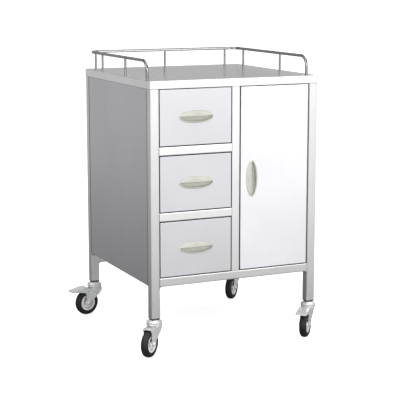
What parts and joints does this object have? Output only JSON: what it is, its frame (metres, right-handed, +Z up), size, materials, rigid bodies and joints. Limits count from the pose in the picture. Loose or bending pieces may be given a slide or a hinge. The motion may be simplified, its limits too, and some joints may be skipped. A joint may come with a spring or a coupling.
{
  "type": "crash cart",
  "caption": "Wheeled stainless steel medical cart with stacked drawers, a side-hinged cupboard door, a guard rail round the top and swivel casters with foot brakes.",
  "frame": {"origin": "on the floor, below the middle of the cabinet", "axes": "+X to the cart's right seen from the front, +Y to its back, +Z up"},
  "size_m": [0.6953, 0.6789, 0.9495],
  "materials": {
    "stainless_frame": "satin polished tube and sheet",
    "stainless_panel": "fine brushed sheet",
    "stainless_front": "satin sheet with a pale film look",
    "polished_rail": "polished",
    "galvanised_steel": "galvanised sheet",
    "zinc_plate": "bright zinc plate",
    "pull_plastic": "fine textured moulding",
    "grey_plastic": "moulded",
    "core_plastic": "moulded nylon",
    "tyre_rubber": "matt rubber",
    "catch_magnet": "moulded"
  },
  "bodies": {
    "cabinet": {"leg_front_left": "stainless_frame", "leg_front_right": "stainless_frame", "leg_rear_left": "stainless_frame", "leg_rear_right": "stainless_frame", "leg_end_plugs": "grey_plastic", "front_bottom_rail": "stainless_frame", "rear_bottom_rail": "stainless_frame", "front_top_rail": "stainless_frame", "drawer_dividers": "stainless_frame", "centre_stile": "stainless_frame", "side_panel_left": "stainless_panel", "side_panel_right": "stainless_panel", "back_panel": "stainless_panel", "floor_panel": "galvanised_steel", "partition_panel": "galvanised_steel", "tabletop": "stainless_panel", "shelf": "galvanised_steel", "shelf_brackets": "galvanised_steel", "guard_rail": "polished_rail", "rail_posts": "polished_rail", "slide_tracks": "galvanised_steel", "hinge_frame_leaf": "galvanised_steel", "door_catch": "catch_magnet", "caster_heads": "zinc_plate", "caster_stem_nuts": "zinc_plate"},
    "drawer_bottom": {"drawer_bottom_front": "stainless_front", "drawer_bottom_box": "galvanised_steel", "drawer_bottom_handle": "pull_plastic", "drawer_bottom_runners": "galvanised_steel"},
    "drawer_middle": {"drawer_middle_front": "stainless_front", "drawer_middle_box": "galvanised_steel", "drawer_middle_handle": "pull_plastic", "drawer_middle_runners": "galvanised_steel"},
    "drawer_top": {"drawer_top_front": "stainless_front", "drawer_top_box": "galvanised_steel", "drawer_top_handle": "pull_plastic", "drawer_top_runners": "galvanised_steel"},
    "door": {"door_skin": "stainless_front", "door_liner": "galvanised_steel", "door_handle": "pull_plastic", "hinge_door_leaf": "galvanised_steel", "catch_plate": "galvanised_steel"},
    "caster_front_left": {"caster_fork_front_left": "zinc_plate", "wheel_axle_front_left": "zinc_plate"},
    "wheel_front_left": {"wheel_core_front_left": "core_plastic", "tyre_front_left": "tyre_rubber"},
    "caster_front_right": {"caster_fork_front_right": "zinc_plate", "wheel_axle_front_right": "zinc_plate"},
    "wheel_front_right": {"wheel_core_front_right": "core_plastic", "tyre_front_right": "tyre_rubber"},
    "pedal_front_right": {"brake_pedal_front_right": "zinc_plate"},
    "caster_rear_left": {"caster_fork_rear_left": "zinc_plate", "wheel_axle_rear_left": "zinc_plate"},
    "wheel_rear_left": {"wheel_core_rear_left": "core_plastic", "tyre_rear_left": "tyre_rubber"},
    "pedal_rear_left": {"brake_pedal_rear_left": "zinc_plate"},
    "caster_rear_right": {"caster_fork_rear_right": "zinc_plate", "wheel_axle_rear_right": "zinc_plate"},
    "wheel_rear_right": {"wheel_core_rear_right": "core_plastic", "tyre_rear_right": "tyre_rubber"}
  },
  "joints": [
    {"name": "drawer_bottom_slide", "type": "slide", "parent": "cabinet", "child": "drawer_bottom", "axis": [0, -1, 0], "range_m": [0, 0.4]},
    {"name": "drawer_middle_slide", "type": "slide", "parent": "cabinet", "child": "drawer_middle", "axis": [0, -1, 0], "range_m": [0, 0.4]},
    {"name": "drawer_top_slide", "type": "slide", "parent": "cabinet", "child": "drawer_top", "axis": [0, -1, 0], "range_m": [0, 0.4]},
    {"name": "door_hinge", "type": "hinge", "parent": "cabinet", "child": "door", "pos_m": [0.2664, -0.2962, 0.5565], "axis": [0, 0, 1], "range_deg": [0, 110]},
    {"name": "caster_front_left_swivel", "type": "hinge", "parent": "cabinet", "child": "caster_front_left", "pos_m": [-0.2835, -0.2835, 0.1], "axis": [0, 0, 1], "continuous": true},
    {"name": "wheel_front_left_spin", "type": "hinge", "parent": "caster_front_left", "child": "wheel_front_left", "pos_m": [-0.30935, -0.30558, 0.045], "axis": [0.6494, -0.7604, 0], "continuous": true},
    {"name": "caster_front_right_swivel", "type": "hinge", "parent": "cabinet", "child": "caster_front_right", "pos_m": [0.2835, -0.2835, 0.1], "axis": [0, 0, 1], "continuous": true},
    {"name": "wheel_front_right_spin", "type": "hinge", "parent": "caster_front_right", "child": "wheel_front_right", "pos_m": [0.2601, -0.30816, 0.045], "axis": [0.7254, -0.6884, 0], "continuous": true},
    {"name": "brake_front_right_pedal", "type": "hinge", "parent": "caster_front_right", "child": "pedal_front_right", "pos_m": [0.2422, -0.32702, 0.093], "axis": [0.7254, -0.6884, 0], "range_deg": [0, 12]},
    {"name": "caster_rear_left_swivel", "type": "hinge", "parent": "cabinet", "child": "caster_rear_left", "pos_m": [-0.2835, 0.2835, 0.1], "axis": [0, 0, 1], "continuous": true},
    {"name": "wheel_rear_left_spin", "type": "hinge", "parent": "caster_rear_left", "child": "wheel_rear_left", "pos_m": [-0.31656, 0.27556, 0.045], "axis": [0.2334, -0.9724, 0], "continuous": true},
    {"name": "brake_rear_left_pedal", "type": "hinge", "parent": "caster_rear_left", "child": "pedal_rear_left", "pos_m": [-0.34184, 0.26949, 0.093], "axis": [0.2334, -0.9724, 0], "range_deg": [0, 12]},
    {"name": "caster_rear_right_swivel", "type": "hinge", "parent": "cabinet", "child": "caster_rear_right", "pos_m": [0.2835, 0.2835, 0.1], "axis": [0, 0, 1], "continuous": true},
    {"name": "wheel_rear_right_spin", "type": "hinge", "parent": "caster_rear_right", "child": "wheel_rear_right", "pos_m": [0.25884, 0.2601, 0.045], "axis": [0.6884, -0.7254, 0], "continuous": true}
  ]
}
